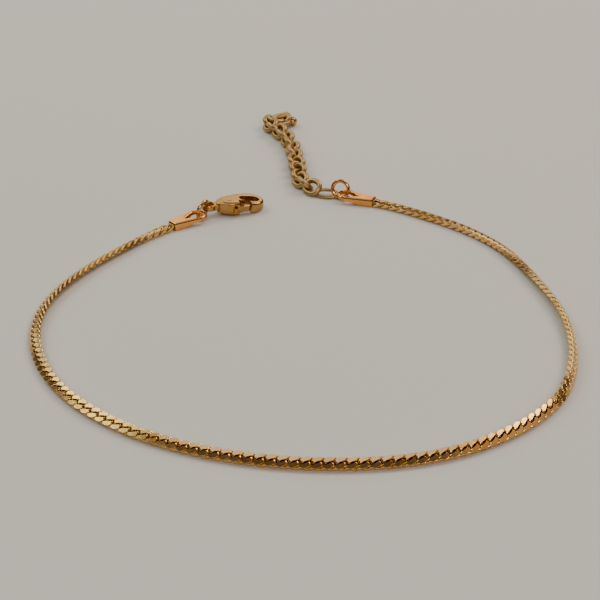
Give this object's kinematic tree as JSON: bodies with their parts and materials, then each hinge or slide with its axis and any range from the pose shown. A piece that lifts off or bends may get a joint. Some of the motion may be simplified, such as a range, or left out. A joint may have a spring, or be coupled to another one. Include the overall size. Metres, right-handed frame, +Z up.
{
  "type": "chain anklet",
  "caption": "Gold-toned flat curb chain anklet lying open, with end clips, jump rings, a lobster clasp with a sprung lever, and an extender chain ending in a small drop.",
  "frame": {"origin": "centre of the anklet's bounding rectangle, on the plane it lies on", "axes": "+Z up, +Y from the middle of the loop towards the clasp and the extender, +X to the right seen from the loop's far side from the clasp"},
  "size_m": [0.0794, 0.1188, 0.0034],
  "materials": {
    "chain_gold": "polished, gold-plated",
    "polished_gold": "polished, gold-plated",
    "clasp_gold": "polished, gold-plated",
    "pale_gold": "satin, gold-plated",
    "drop_gold": "polished, gold-plated"
  },
  "bodies": {
    "anklet": {"chain": "chain_gold", "clasp_end_clip": "polished_gold", "extender_end_clip": "polished_gold", "clasp_ring": "polished_gold", "extender_ring": "polished_gold", "clasp_body": "clasp_gold", "clasp_pin": "clasp_gold", "extender_chain": "pale_gold", "end_drop": "drop_gold"},
    "lever": {"clasp_lever": "clasp_gold"}
  },
  "joints": [
    {"name": "lever_hinge", "type": "hinge", "parent": "anklet", "child": "lever", "pos_m": [-0.01181, 0.01913, 0.00127], "axis": [0.0773, 0.0229, 0.9967], "range_deg": [0, 25], "stiffness_Nm_per_rad": 0.004, "springref_deg": -8.59}
  ]
}
